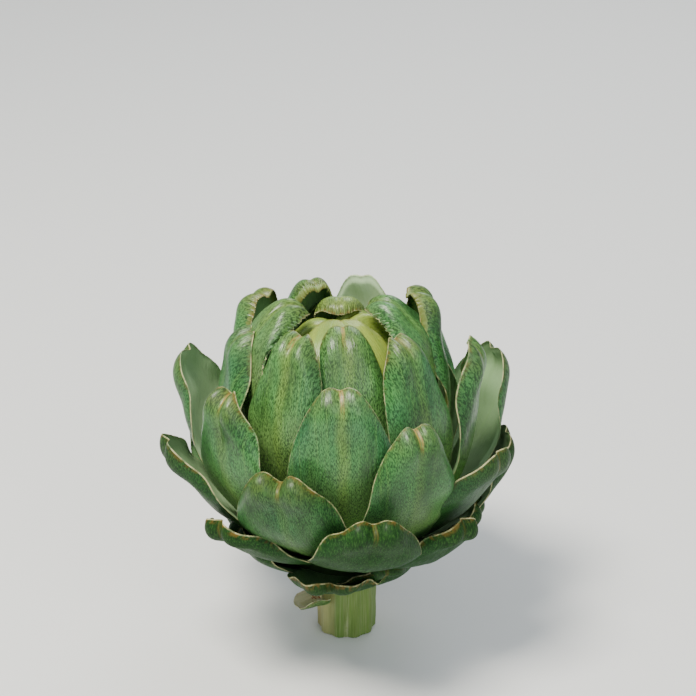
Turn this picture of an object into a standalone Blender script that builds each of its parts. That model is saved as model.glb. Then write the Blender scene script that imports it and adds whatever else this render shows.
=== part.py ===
"""An artichoke as picked: a head of overlapping fleshy bracts on a short cut stem.

Metres, +Z up. The origin is the middle of the stem's flat cut end, which the artichoke stands on,
and the front of the head faces -Y. Heights of the head are measured from the top of the stem.
"""
import math

import bmesh
import bpy
import numpy as np

MM = 0.001

TOUCH_GAP = 0.3 * MM

# Stem, a turned profile whose side is then raised into ribs
STEM_LENGTH = 30.0 * MM
STEM_RADIUS = 11.8 * MM
STEM_TOP_RADIUS = 12.6 * MM
STEM_WAIST = 19.0 * MM
CUT_BEVEL = 0.8 * MM
STEM_RIBS = 10
STEPS_PER_RIB = 4
RIB_HEIGHT = 0.5 * MM

# Leaf base on the stem, a small boat that clasps it
LEAF_AZIMUTH = -52.0
LEAF_HEIGHT = 14.5 * MM
LEAF_RISE = 1.5 * MM
LEAF_REACH = 13.5 * MM
LEAF_START = 0.0
LEAF_END = 18.0
LEAF_HALF_WIDTH = 6.6 * MM
LEAF_CROSS_RADIUS = 5.6 * MM
LEAF_LIP = 0.8 * MM
LEAF_ROOT_WIDTH = 0.9
LEAF_FLESH = 2.0 * MM
LEAF_HANDLE = 0.35
LEAF_BLUNTNESS = 0.32

# Head: bracts are numbered from the stem upwards, each a golden angle on from the last
HEAD_BASE = STEM_LENGTH + TOUCH_GAP
BRACT_COUNT = 45
FRONT_BRACT = 27
GOLDEN_ANGLE = 137.508
FRONT_AZIMUTH = -1.0
LEAN = -0.028

# The bract's shape at these numbers, with straight runs between them: millimetres and degrees, and
# the handles of its curve as shares of its chord
KEY_NUMBERS = (0, 7, 14, 20, 25, 30, 35, 44)
TIP_RADIUS = (43.0, 66.0, 78.0, 71.0, 57.0, 39.0, 22.0, 2.0)
TIP_HEIGHT = (20.0, 40.0, 59.0, 86.0, 103.0, 115.0, 122.0, 119.5)
ROOT_RADIUS = (12.0, 15.0, 17.0, 18.0, 17.0, 15.0, 12.0, 9.0)
ROOT_HEIGHT = (3.0, 6.0, 13.0, 14.0, 15.0, 17.0, 20.0, 25.0)
START_ANGLE = (-4.0, 4.0, 18.0, 19.0, 21.0, 27.0, 34.0, 46.0)
END_ANGLE = (75.0, 80.0, 84.0, 92.0, 102.0, 116.0, 136.0, 150.0)
HANDLE = (0.42, 0.42, 0.42, 0.42, 0.42, 0.42, 0.42, 0.38)
HALF_WIDTH = (17.0, 20.0, 23.0, 23.0, 22.5, 21.5, 20.0, 16.0)
CROSS_RADIUS = (34.0, 36.0, 46.0, 50.0, 50.0, 44.0, 38.0, 28.0)
LIP_DEPTH = (4.0, 4.7, 5.4, 5.4, 5.7, 5.6, 4.0, 1.5)

# Bracts that stand away from the rule: degrees of turn about the axis and of the tip's direction,
# millimetres that the tip moves outwards, upwards and sideways and the half width grows, more reach
# of the curve before the tip, and how blunt the tip is
STANDARD = {"turn": 0.0, "out": 0.0, "up": 0.0, "open": 0.0, "reach": 0.0, "tilt": 0.0, "wide": 0.0,
            "blunt": 0.02}
DEPARTURES = {
    1: {"up": -3.0, "open": -10.0},
    4: {"out": 2.0, "up": 3.0},
    6: {"turn": 2.0, "out": -8.0, "up": -22.0, "open": -38.0, "blunt": 0.2},
    8: {"out": -14.0, "up": -10.0},
    9: {"turn": -2.0, "out": -1.5, "up": -4.5, "open": -28.0, "tilt": 5.0, "wide": -3.5},
    11: {"out": -2.0, "up": -10.0, "open": -36.0, "tilt": -8.0, "wide": -1.0},
    12: {"out": -1.5, "open": -22.0},
    14: {"turn": -4.0, "out": -1.2, "up": -2.0, "tilt": 4.0, "wide": -1.0, "blunt": 0.3},
    16: {"turn": 3.0, "out": 4.0, "up": -3.0, "open": -34.0},
    17: {"turn": -6.0, "out": 1.0, "up": -6.0, "open": -36.0},
    19: {"turn": 3.0, "out": -4.0, "up": -11.0, "tilt": -5.5, "blunt": 0.34},
    20: {"out": 4.0, "up": -4.0, "open": -20.0},
    21: {"out": 3.0, "up": -2.0, "open": -22.0},
    22: {"turn": -4.0, "up": -5.0, "tilt": 3.5, "wide": -3.0, "blunt": 0.12},
    24: {"turn": 5.0, "out": 1.0, "up": -5.0, "tilt": -6.0, "wide": -3.5},
    25: {"out": 2.0, "up": -2.0, "open": -22.0, "wide": -3.0},
    26: {"out": -6.0, "up": -8.0},
    27: {"up": -5.0, "wide": 0.8},
    28: {"up": -5.0},
    29: {"turn": 9.0, "out": -1.5, "wide": -1.5},
    30: {"turn": -6.0, "out": -2.0, "tilt": 1.0, "wide": -4.5},
    31: {"out": -5.0, "up": -7.0},
    32: {"turn": 2.0, "out": -3.0, "tilt": -2.0, "wide": -3.5, "blunt": 0.2},
    33: {"out": 8.0, "open": -26.0, "wide": -2.0, "blunt": 0.3},
    34: {"out": 14.4, "up": -5.0, "open": -28.0, "wide": -1.0, "blunt": 0.3},
    35: {"turn": -10.0, "out": -8.0, "up": -8.0, "open": 8.0, "wide": -4.0, "blunt": 0.2},
    36: {"out": 7.0, "up": -2.0, "open": -34.0, "wide": -1.0, "blunt": 0.1},
    37: {"turn": -4.0, "out": -6.0, "up": -1.0, "open": 44.0, "reach": 0.06, "tilt": -2.5, "wide": -5.0,
         "blunt": 0.3},
    38: {"turn": 3.0, "out": -6.0, "up": -0.8, "open": 38.0, "reach": 0.04, "tilt": 4.0, "wide": -5.5,
         "blunt": 0.3},
    39: {"out": 12.0, "up": -0.6, "open": -22.0, "wide": -1.5, "blunt": 0.3},
    40: {"out": -7.0, "up": -8.0, "open": 22.0, "reach": 0.1},
    41: {"out": -6.0, "up": -8.0, "open": 20.0, "reach": 0.1},
    42: {"out": -4.0, "up": -8.0, "open": 18.0, "reach": 0.1},
    43: {"out": -1.0, "up": -8.0, "open": 16.0, "reach": 0.1},
    44: {"out": -3.0, "up": -2.8, "open": 36.0, "wide": -4.0, "blunt": 0.3},
}
SEED = 11
AZIMUTH_SPREAD = 1.6
TIP_SPREAD = 1.4 * MM
ROLL_SPREAD = 4.0

# Every bract: the share of its length up to the shoulder, the width of its root, and at its tip the
# notch, the rim that rolls inwards and the two puffs, placed on a half disc of radius 1
SHOULDER = 0.5
SHOULDER_ROW = 1.0 / 3.0
ROOT_WIDTH = 0.45
LENGTH_PER_CHORD = 1.12
NOTCH_DEPTH = 2.4 * MM
NOTCH_WIDTH = 0.12
NOTCH_START = 0.8
LIP_START = 0.7
PUFF_HEIGHT = 3.2 * MM
PUFF_PLACE = (0.36, 0.78)
PUFF_SPREAD = (0.25, 0.2)

# Flesh at the root, what is left of it at the rim, and how fast it thins out
FLESH = 3.0 * MM
EDGE_SHARE = 0.4
THINNER_UP = 0.75
THINNER_ACROSS = 0.25

# Cells of a bract's grid, and the distance within which the ends of a turned profile are welded
CELLS_ACROSS = 4
CELLS_ALONG = 6
WELD = 0.1 * MM

# Core that the bracts grow from, as radius and height down its outer side
CORE_PROFILE = ((0.0, 103.0), (6.0, 100.5), (12.5, 95.0), (20.0, 86.0), (27.0, 74.0), (32.5, 60.0),
                (36.0, 45.0), (36.0, 30.0), (32.0, 15.0), (23.0, 4.0), (13.0, 0.0), (0.0, 0.0))
CORE_SIDES = 22

BRACT_GREEN = (0.105, 0.205, 0.065, 1.0)
STEM_GREEN = (0.27, 0.34, 0.12, 1.0)
LEAF_GREEN = (0.36, 0.36, 0.16, 1.0)
BRACT_ROUGHNESS = 0.5
STEM_ROUGHNESS = 0.55


def clear_scene():
    """Remove every object that the scene holds."""
    for thing in list(bpy.data.objects):
        bpy.data.objects.remove(thing, do_unlink=True)


def make_collection(name):
    """A new collection in the scene."""
    group = bpy.data.collections.new(name)
    bpy.context.scene.collection.children.link(group)
    return group


def make_material(name, colour, roughness):
    """A Principled material of one colour."""
    material = bpy.data.materials.new(name)
    material.use_nodes = True
    shader = material.node_tree.nodes["Principled BSDF"]
    shader.inputs["Base Color"].default_value = colour
    shader.inputs["Roughness"].default_value = roughness
    shader.inputs["Metallic"].default_value = 0.0
    return material


def grid_object(name, cells_x, cells_y, group):
    """A flat grid primitive from -1 to 1 in x and y, as an object of its own, and its corners."""
    form = bmesh.new()
    bmesh.ops.create_grid(form, x_segments=cells_x, y_segments=cells_y, size=1.0)
    mesh = bpy.data.meshes.new(name)
    form.to_mesh(mesh)
    form.free()
    thing = bpy.data.objects.new(name, mesh)
    group.objects.link(thing)
    corners = np.array([corner.co for corner in mesh.vertices])
    return thing, corners


def place_corners(thing, places):
    """Move the mesh's corners to new places and split its cells into triangles."""
    thing.data.vertices.foreach_set("co", places.astype(np.float32).ravel())
    form = bmesh.new()
    form.from_mesh(thing.data)
    bmesh.ops.triangulate(form, faces=form.faces[:], quad_method="FIXED")
    form.to_mesh(thing.data)
    form.free()
    thing.data.update()


def thicken(thing, thickness, shares, least):
    """Give an open sheet its wall, inwards, thinner where a corner's share is smaller."""
    layer = thing.vertex_groups.new(name="flesh")
    for index, share in enumerate(shares):
        layer.add([index], float(share), "REPLACE")
    wall = thing.modifiers.new("wall", "SOLIDIFY")
    wall.thickness = thickness
    wall.offset = -1.0
    wall.vertex_group = layer.name
    wall.thickness_vertex_group = least


def evaluated_copy(thing, group):
    """The object with its modifiers applied, as a new plain mesh object; the old one is removed."""
    name = thing.name
    graph = bpy.context.evaluated_depsgraph_get()
    mesh = bpy.data.meshes.new_from_object(thing.evaluated_get(graph))
    bpy.data.objects.remove(thing, do_unlink=True)
    copy = bpy.data.objects.new(name, mesh)
    group.objects.link(copy)
    return copy


def smoothstep(share):
    """0 to 1 with flat ends."""
    share = np.clip(share, 0.0, 1.0)
    return share * share * (3.0 - 2.0 * share)


def bract_rule(number, draw):
    """The driving sizes of one bract, from its number, its departure and its random draw."""
    own = {**STANDARD, **DEPARTURES.get(number, {})}
    azimuth = FRONT_AZIMUTH + (number - FRONT_BRACT) * GOLDEN_ANGLE + own["turn"] + draw[0] * AZIMUTH_SPREAD

    def at(keys):
        return float(np.interp(number, KEY_NUMBERS, keys))

    return {
        "azimuth": math.radians(azimuth),
        "roll": math.radians(draw[1] * ROLL_SPREAD),
        "root": np.array((at(ROOT_RADIUS), at(ROOT_HEIGHT))) * MM,
        "tip": np.array((at(TIP_RADIUS) + own["out"], at(TIP_HEIGHT) + own["up"])) * MM
               + draw[2:4] * TIP_SPREAD,
        "start": math.radians(at(START_ANGLE)),
        "end": math.radians(at(END_ANGLE) + own["open"]),
        "handle": at(HANDLE),
        "tip_handle": at(HANDLE) + own["reach"],
        "half_width": (at(HALF_WIDTH) + own["wide"]) * MM,
        "cross_radius": at(CROSS_RADIUS) * MM,
        "root_width": ROOT_WIDTH,
        "lip": at(LIP_DEPTH) * MM,
        "tilt": own["tilt"] * MM,
        "blunt": own["blunt"],
        "puff": PUFF_HEIGHT,
    }


def midline(rule, along):
    """Radius, height and direction along a bract's middle: a cubic curve from its root to its tip."""
    root = rule["root"]
    tip = rule["tip"]
    chord = np.linalg.norm(tip - root)
    start_way = np.array((math.cos(rule["start"]), math.sin(rule["start"])))
    end_way = np.array((math.cos(rule["end"]), math.sin(rule["end"])))
    leave = root + chord * rule["handle"] * start_way
    arrive = tip - chord * rule["tip_handle"] * end_way
    s = along[:, None]
    place = (1 - s) ** 3 * root + 3 * s * (1 - s) ** 2 * leave + 3 * s * s * (1 - s) * arrive + s ** 3 * tip
    way = 3 * (1 - s) ** 2 * (leave - root) + 6 * s * (1 - s) * (arrive - leave) + 3 * s * s * (tip - arrive)
    way /= np.linalg.norm(way, axis=1, keepdims=True)
    return place, way


def bract_sheet(rule, corners):
    """Outer surface of a bract on a grid of -1 to 1: radius, sideways place, height, and for each
    corner its place along the midline and its share of the full flesh.

    The lower rows run straight up to the shoulder, the upper rows map the square on to a half disc,
    so the tip is round. The sheet is bent about its midline, its rim rolls inwards at the tip, and
    two low puffs rise beside the tip's notch.
    """
    across = corners[:, 0]
    up = (corners[:, 1] + 1.0) / 2.0
    cap = np.clip((up - SHOULDER_ROW) / (1.0 - SHOULDER_ROW), 0.0, 1.0)
    low = np.clip(up / SHOULDER_ROW, 0.0, 1.0)
    disc_x = across * np.sqrt(1.0 - cap * cap / 2.0)
    disc_y = cap * np.sqrt(1.0 - across * across / 2.0)
    along = np.where(up < SHOULDER_ROW, low * SHOULDER, SHOULDER + (1.0 - SHOULDER) * disc_y)
    side = disc_x * (1.0 + rule["blunt"] * disc_y ** 2) * rule["half_width"]
    side *= rule["root_width"] + (1.0 - rule["root_width"]) * smoothstep(low)
    length = np.linalg.norm(rule["tip"] - rule["root"]) * LENGTH_PER_CHORD
    notch = NOTCH_DEPTH / length * np.exp(-(disc_x / NOTCH_WIDTH) ** 2)
    notch *= smoothstep((disc_y - NOTCH_START) / (1.0 - NOTCH_START))
    along = along - notch

    place, way = midline(rule, along)
    outward = np.stack((way[:, 1], -way[:, 0]), axis=1)
    rim = np.sqrt(disc_x ** 2 + disc_y ** 2)
    lip = rule["lip"] * np.clip((rim - LIP_START) / (1.0 - LIP_START), 0.0, 1.0) ** 2 * disc_y
    puff_x = (np.abs(disc_x) - PUFF_PLACE[0]) / PUFF_SPREAD[0]
    puff_y = (disc_y - PUFF_PLACE[1]) / PUFF_SPREAD[1]
    lip = lip - rule["puff"] * np.exp(-puff_x ** 2 - puff_y ** 2)
    bend = side / rule["cross_radius"]
    sideways = rule["cross_radius"] * np.sin(bend)
    inward = rule["cross_radius"] * (1.0 - np.cos(bend)) + lip + sideways * math.sin(rule["roll"])
    sideways = sideways + rule["tilt"] * along ** 2
    radius = place[:, 0] - outward[:, 0] * inward
    height = place[:, 1] - outward[:, 1] * inward
    share = np.clip(1.0 - THINNER_UP * along - THINNER_ACROSS * np.abs(across), 0.0, 1.0)
    return radius, sideways, height, along, share


def turned_to(azimuth, radius, sideways, height):
    """World places of points beside an upright plane that faces the azimuth, from -Y towards +X."""
    x = radius * math.sin(azimuth) + sideways * math.cos(azimuth)
    y = -radius * math.cos(azimuth) + sideways * math.sin(azimuth)
    return np.stack((x, y, height), axis=1)


def leaned(places):
    """Head points, measured from the stem's top, set on the stem with the head's slight lean."""
    placed = places.copy()
    placed[:, 0] += LEAN * places[:, 2]
    placed[:, 2] += HEAD_BASE
    return placed


def make_bract(number, draw, group):
    """One bract as a closed solid."""
    thing, corners = grid_object(f"bract_{number:02d}", CELLS_ACROSS, CELLS_ALONG, group)
    rule = bract_rule(number, draw)
    radius, sideways, height, _, share = bract_sheet(rule, corners)
    place_corners(thing, leaned(turned_to(rule["azimuth"], radius, sideways, height)))
    thicken(thing, FLESH, share, EDGE_SHARE)
    return evaluated_copy(thing, group)


def turned_solid(name, profile, sides, group):
    """A profile of radius and height, top to bottom, turned about Z into a closed solid."""
    mesh = bpy.data.meshes.new(name)
    points = [(radius, 0.0, height) for radius, height in profile]
    mesh.from_pydata(points, [(i, i + 1) for i in range(len(points) - 1)], [])
    thing = bpy.data.objects.new(name, mesh)
    group.objects.link(thing)
    turn = thing.modifiers.new("turn", "SCREW")
    turn.steps = sides
    turn.render_steps = sides
    turn.use_merge_vertices = True
    turn.merge_threshold = WELD
    thing = evaluated_copy(thing, group)
    return thing, np.array([corner.co for corner in thing.data.vertices])


def make_core(group):
    """The receptacle and unopened florets: a turned solid inside the bracts."""
    profile = [(radius * MM, height * MM) for radius, height in CORE_PROFILE]
    core, corners = turned_solid("core", profile, CORE_SIDES, group)
    place_corners(core, leaned(corners))
    return core


def keep_largest_body(mesh):
    """Keep the tallest body: loose scraps and the walls of sealed hollows go."""
    form = bmesh.new()
    form.from_mesh(mesh)
    form.verts.ensure_lookup_table()
    unseen = set(form.verts)
    bodies = []
    while unseen:
        stack = [unseen.pop()]
        body = set(stack)
        while stack:
            for edge in stack.pop().link_edges:
                for corner in edge.verts:
                    if corner in unseen:
                        unseen.remove(corner)
                        body.add(corner)
                        stack.append(corner)
        bodies.append(body)
    bodies.sort(key=lambda body: max(v.co.z for v in body) - min(v.co.z for v in body))
    for body in bodies[:-1]:
        bmesh.ops.delete(form, geom=list(body), context="VERTS")
    form.to_mesh(mesh)
    form.free()


def make_head(parts, material):
    """The flower head: core and bracts joined into one solid."""
    loose = make_collection("head_bracts")
    rng = np.random.default_rng(SEED)
    draws = rng.uniform(-1.0, 1.0, (BRACT_COUNT, 4))
    for number in range(BRACT_COUNT):
        make_bract(number, draws[number], loose)
    head = make_core(parts)
    head.name = "head"
    join = head.modifiers.new("join", "BOOLEAN")
    join.operation = "UNION"
    join.operand_type = "COLLECTION"
    join.collection = loose
    join.solver = "EXACT"
    join.use_self = True
    head = evaluated_copy(head, parts)
    for bract in list(loose.objects):
        bpy.data.objects.remove(bract, do_unlink=True)
    bpy.data.collections.remove(loose)
    keep_largest_body(head.data)
    head.data.materials.clear()
    head.data.materials.append(material)
    return head


def make_stem(parts, material):
    """The ribbed stem, cut square at its foot, up to just under the head."""
    profile = ((0.0, STEM_LENGTH), (STEM_TOP_RADIUS, STEM_LENGTH), (STEM_RADIUS, STEM_WAIST),
               (STEM_RADIUS, CUT_BEVEL), (STEM_RADIUS - CUT_BEVEL, 0.0), (0.0, 0.0))
    stem, corners = turned_solid("stem", profile, STEM_RIBS * STEPS_PER_RIB, parts)
    angle = np.arctan2(corners[:, 1], corners[:, 0])
    reach = np.hypot(corners[:, 0], corners[:, 1])
    grown = 1.0 + RIB_HEIGHT * np.cos(STEM_RIBS * angle) / np.maximum(reach, STEM_RADIUS)
    place_corners(stem, corners * np.stack((grown, grown, np.ones_like(grown)), axis=1))
    stem.data.materials.append(material)
    return stem


def make_stem_leaf(parts, material):
    """The leaf base on the stem: a bract in small whose root is hollowed to clasp the round stem."""
    clasp = STEM_RADIUS + RIB_HEIGHT + TOUCH_GAP
    rule = {
        "root": np.array((clasp, LEAF_HEIGHT)),
        "tip": np.array((clasp + LEAF_REACH, LEAF_HEIGHT + LEAF_RISE)),
        "start": math.radians(LEAF_START),
        "end": math.radians(LEAF_END),
        "roll": 0.0,
        "handle": LEAF_HANDLE,
        "tip_handle": LEAF_HANDLE,
        "half_width": LEAF_HALF_WIDTH,
        "cross_radius": LEAF_CROSS_RADIUS,
        "root_width": LEAF_ROOT_WIDTH,
        "lip": LEAF_LIP,
        "tilt": 0.0,
        "blunt": LEAF_BLUNTNESS,
        "puff": 0.0,
    }
    leaf, corners = grid_object("stem_leaf", CELLS_ACROSS * 2, CELLS_ALONG, parts)
    radius, sideways, height, along, share = bract_sheet(rule, corners)
    radius = radius - (1.0 - along) * (clasp - np.sqrt(clasp ** 2 - sideways ** 2))
    place_corners(leaf, turned_to(math.radians(LEAF_AZIMUTH), radius, sideways, height))
    thicken(leaf, LEAF_FLESH, share, EDGE_SHARE)
    leaf.data.materials.append(material)
    return leaf


def main():
    """Build the artichoke's three parts in their collection."""
    clear_scene()
    parts = make_collection("artichoke")
    make_head(parts, make_material("bract green", BRACT_GREEN, BRACT_ROUGHNESS))
    make_stem(parts, make_material("stem pale green", STEM_GREEN, STEM_ROUGHNESS))
    make_stem_leaf(parts, make_material("leaf base", LEAF_GREEN, STEM_ROUGHNESS))


main()
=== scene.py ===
# %% [markdown]
# # A globe artichoke, bract by bract
#
# The artichoke is an unopened flower head on a short length of its own stem. What looks like a ball
# of leaves is a spiral of fleshy bracts: each grows out of the receptacle a golden angle on from
# the one below it. The lowest spread like a saucer, the middle ones stand up, and the top ones
# close over the florets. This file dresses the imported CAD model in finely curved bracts, a ribbed
# stem and the small leaf base on it, and lights them softly.

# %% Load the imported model
import math

import bpy
import numpy as np
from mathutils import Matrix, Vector


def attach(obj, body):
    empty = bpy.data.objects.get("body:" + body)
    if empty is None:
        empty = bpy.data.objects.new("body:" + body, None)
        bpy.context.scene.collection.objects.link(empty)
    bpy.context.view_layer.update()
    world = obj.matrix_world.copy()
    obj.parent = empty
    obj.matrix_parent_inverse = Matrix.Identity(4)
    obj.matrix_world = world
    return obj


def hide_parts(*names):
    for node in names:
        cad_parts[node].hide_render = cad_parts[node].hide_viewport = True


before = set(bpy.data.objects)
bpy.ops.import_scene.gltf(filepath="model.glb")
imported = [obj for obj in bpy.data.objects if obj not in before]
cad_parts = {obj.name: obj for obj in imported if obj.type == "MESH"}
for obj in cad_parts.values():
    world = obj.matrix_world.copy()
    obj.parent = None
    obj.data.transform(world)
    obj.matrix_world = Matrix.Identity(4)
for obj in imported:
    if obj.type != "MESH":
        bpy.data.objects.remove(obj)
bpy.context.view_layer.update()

MM = 0.001


# %% [markdown]
# ## Camera
#
# The head was seen from a little above its middle, from about 0.9 m away: the far bracts show their
# inner faces and the near ones hide the stem's top. The camera looks down 28 degrees, and its lens
# gives 2.5 pixels for each millimetre at the middle of the head. It aims 104.6 pixels above that
# middle and 1.5 to the right of it, so the head stands as low in the picture as it was seen.

# %% Place the camera
PICTURE = 696
VIEW_DOWN = math.radians(28.0)
VIEW_DISTANCE = 0.9
HEAD_MIDDLE = Vector((0.0, 0.0, 80.3 * MM))
PIXELS_PER_METRE = 2500.0
SENSOR = 36.0
AIM_ABOVE = 104.6
AIM_RIGHT = 1.5

camera_data = bpy.data.cameras.new("camera")
camera_data.sensor_width = SENSOR
camera_data.lens = PIXELS_PER_METRE * VIEW_DISTANCE / PICTURE * SENSOR
camera = bpy.data.objects.new("camera", camera_data)
bpy.context.scene.collection.objects.link(camera)
camera.location = HEAD_MIDDLE + VIEW_DISTANCE * Vector((0.0, -math.cos(VIEW_DOWN), math.sin(VIEW_DOWN)))
picture_up = Vector((0.0, math.sin(VIEW_DOWN), math.cos(VIEW_DOWN)))
aim = HEAD_MIDDLE + (AIM_ABOVE * picture_up + Vector((AIM_RIGHT, 0.0, 0.0))) / PIXELS_PER_METRE
camera.rotation_euler = (aim - camera.location).to_track_quat("-Z", "Y").to_euler()
bpy.context.scene.camera = camera
print("lens in mm:", round(camera_data.lens, 1))


# %% [markdown]
# ## Colours and nodes
#
# Colours are written as sRGB hex values and turned to linear light by one function. One small
# function adds a shader node, sets it and links what it reads, so each finish below reads as a
# short list of steps.

# %% Helpers for materials
def colour(code):
    """Linear RGBA of an sRGB hex colour: each channel through the sRGB curve."""
    channels = [int(code[i:i + 2], 16) / 255.0 for i in (1, 3, 5)]
    linear = [c / 12.92 if c <= 0.04045 else ((c + 0.055) / 1.055) ** 2.4 for c in channels]
    return (*linear, 1.0)


def add(tree, kind, inputs=None, **settings):
    """Add one shader node, with its settings, and give each named input a value or a link."""
    made = tree.nodes.new("ShaderNode" + kind)
    for name, value in settings.items():
        setattr(made, name, value)
    for key, value in (inputs or {}).items():
        if isinstance(value, bpy.types.NodeSocket):
            tree.links.new(value, made.inputs[key])
        else:
            made.inputs[key].default_value = value
    return made


def finish(name, **uniform):
    """A new material, its node tree and its shader, with the uniform values set on the shader."""
    material = bpy.data.materials.new(name)
    material.use_nodes = True
    shader = material.node_tree.nodes["Principled BSDF"]
    for key, value in uniform.items():
        shader.inputs[key.replace("_", " ")].default_value = value
    return material, material.node_tree, shader


# %% [markdown]
# ## Floor and light
#
# A plain pale floor that curves up into a wall far behind, a soft lamp high on the left like an
# open window, weaker ones on the right and behind, and an even pale sky. Soft light shows the waxy
# bulges without burning them out.

# %% Floor, lamps and sky
def grid_faces(rows, columns):
    """Corner numbers of the cells of a grid whose points are stored row by row."""
    first = (np.arange(rows - 1)[:, None] * columns + np.arange(columns - 1)[None, :]).ravel()
    return np.stack((first, first + 1, first + columns + 1, first + columns), axis=1)


def mesh_object(name, points, faces, material):
    """A smooth mesh object from an array of points and a list of faces, with its material."""
    mesh = bpy.data.meshes.new(name)
    mesh.from_pydata(points.reshape(-1, 3).tolist(), [], faces)
    mesh.polygons.foreach_set("use_smooth", np.ones(len(mesh.polygons), bool))
    mesh.materials.append(material)
    mesh.update()
    thing = bpy.data.objects.new(name, mesh)
    bpy.context.scene.collection.objects.link(thing)
    return thing


# Floor, in metres: its profile is flat, then a quarter circle, then an upright wall. Matt paint
# takes soft shadows and shows no reflection.
FLOOR_HALF = 3.0
FLOOR_FRONT = -2.0
FLOOR_BACK = 1.6
FLOOR_CURVE = 0.6
WALL_TOP = 3.0
floor_finish = finish("matt pale floor paint", Roughness=0.9, Base_Color=colour("#e6e6e2"))[0]
slide = np.linspace(0.0, math.pi / 2, 25)
floor_y = np.concatenate(((FLOOR_FRONT,), FLOOR_BACK + FLOOR_CURVE * np.sin(slide), (FLOOR_BACK + FLOOR_CURVE,)))
floor_z = np.concatenate(((0.0,), FLOOR_CURVE * (1 - np.cos(slide)), (WALL_TOP,)))
floor_points = np.zeros((len(floor_y), 2, 3))
floor_points[:, :, 0] = (-FLOOR_HALF, FLOOR_HALF)
floor_points[:, :, 1] = floor_y[:, None]
floor_points[:, :, 2] = floor_z[:, None]
floor = mesh_object("floor", floor_points, grid_faces(len(floor_y), 2).tolist(), floor_finish)


def lamp(name, place, size, power, tint):
    """A square area lamp at a place, pointed at the middle of the head."""
    data = bpy.data.lights.new(name, "AREA")
    data.size = size
    data.energy = power
    data.color = colour(tint)[:3]
    thing = bpy.data.objects.new(name, data)
    bpy.context.scene.collection.objects.link(thing)
    thing.location = place
    thing.rotation_euler = (HEAD_MIDDLE - Vector(place)).to_track_quat("-Z", "Y").to_euler()


# Lamps: place in metres, size in metres, power in watts, tint
lamp("window_lamp", (-0.38, -0.3, 1.2), 0.42, 25.0, "#fffaf0")
lamp("fill_lamp", (0.55, -1.0, 0.9), 0.8, 5.0, "#f4f8ff")
lamp("back_lamp", (0.35, 0.9, 0.9), 0.6, 6.0, "#f2f6ff")
sky = bpy.data.worlds.new("pale sky")
bpy.context.scene.world = sky
sky.use_nodes = True
sky_light = sky.node_tree.nodes["Background"].inputs
sky_light["Color"].default_value = colour("#e4edf5")
sky_light["Strength"].default_value = 0.6
print("stage made")


# %% [markdown]
# ## The spiral of bracts
#
# On the plant each new bract starts where there is most room, which is 137.508 degrees round from
# the last. The same numbers as the CAD's drive this cell: root, tip, width and curvature at eight
# numbered bracts, straight runs between them, a short list of bracts that grew away from the rule,
# and small seeded differences.

# %% Numbers of the spiral
# Lengths are in millimetres and angles in degrees. LEAN is the head's sideways lean for each
# millimetre of height.
HEAD_BASE = 30.3
BRACT_COUNT = 45
FRONT_BRACT = 27
GOLDEN_ANGLE = 137.508
FRONT_AZIMUTH = -1.0
LEAN = -0.028
KEY_NUMBERS = (0, 7, 14, 20, 25, 30, 35, 44)
KEYS = {
    "tip_radius": (43.0, 66.0, 78.0, 71.0, 57.0, 39.0, 22.0, 2.0),
    "tip_height": (20.0, 40.0, 59.0, 86.0, 103.0, 115.0, 122.0, 119.5),
    "root_radius": (12.0, 15.0, 17.0, 18.0, 17.0, 15.0, 12.0, 9.0),
    "root_height": (3.0, 6.0, 13.0, 14.0, 15.0, 17.0, 20.0, 25.0),
    "start": (-4.0, 4.0, 18.0, 19.0, 21.0, 27.0, 34.0, 46.0),
    "end": (75.0, 80.0, 84.0, 92.0, 102.0, 116.0, 136.0, 150.0),
    "handle": (0.42, 0.42, 0.42, 0.42, 0.42, 0.42, 0.42, 0.38),
    "half_width": (17.0, 20.0, 23.0, 23.0, 22.5, 21.5, 20.0, 16.0),
    "cross_radius": (34.0, 36.0, 46.0, 50.0, 50.0, 44.0, 38.0, 28.0),
    "lip": (3.0, 3.5, 4.0, 4.0, 4.2, 4.6, 5.0, 1.5),
}
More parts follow.
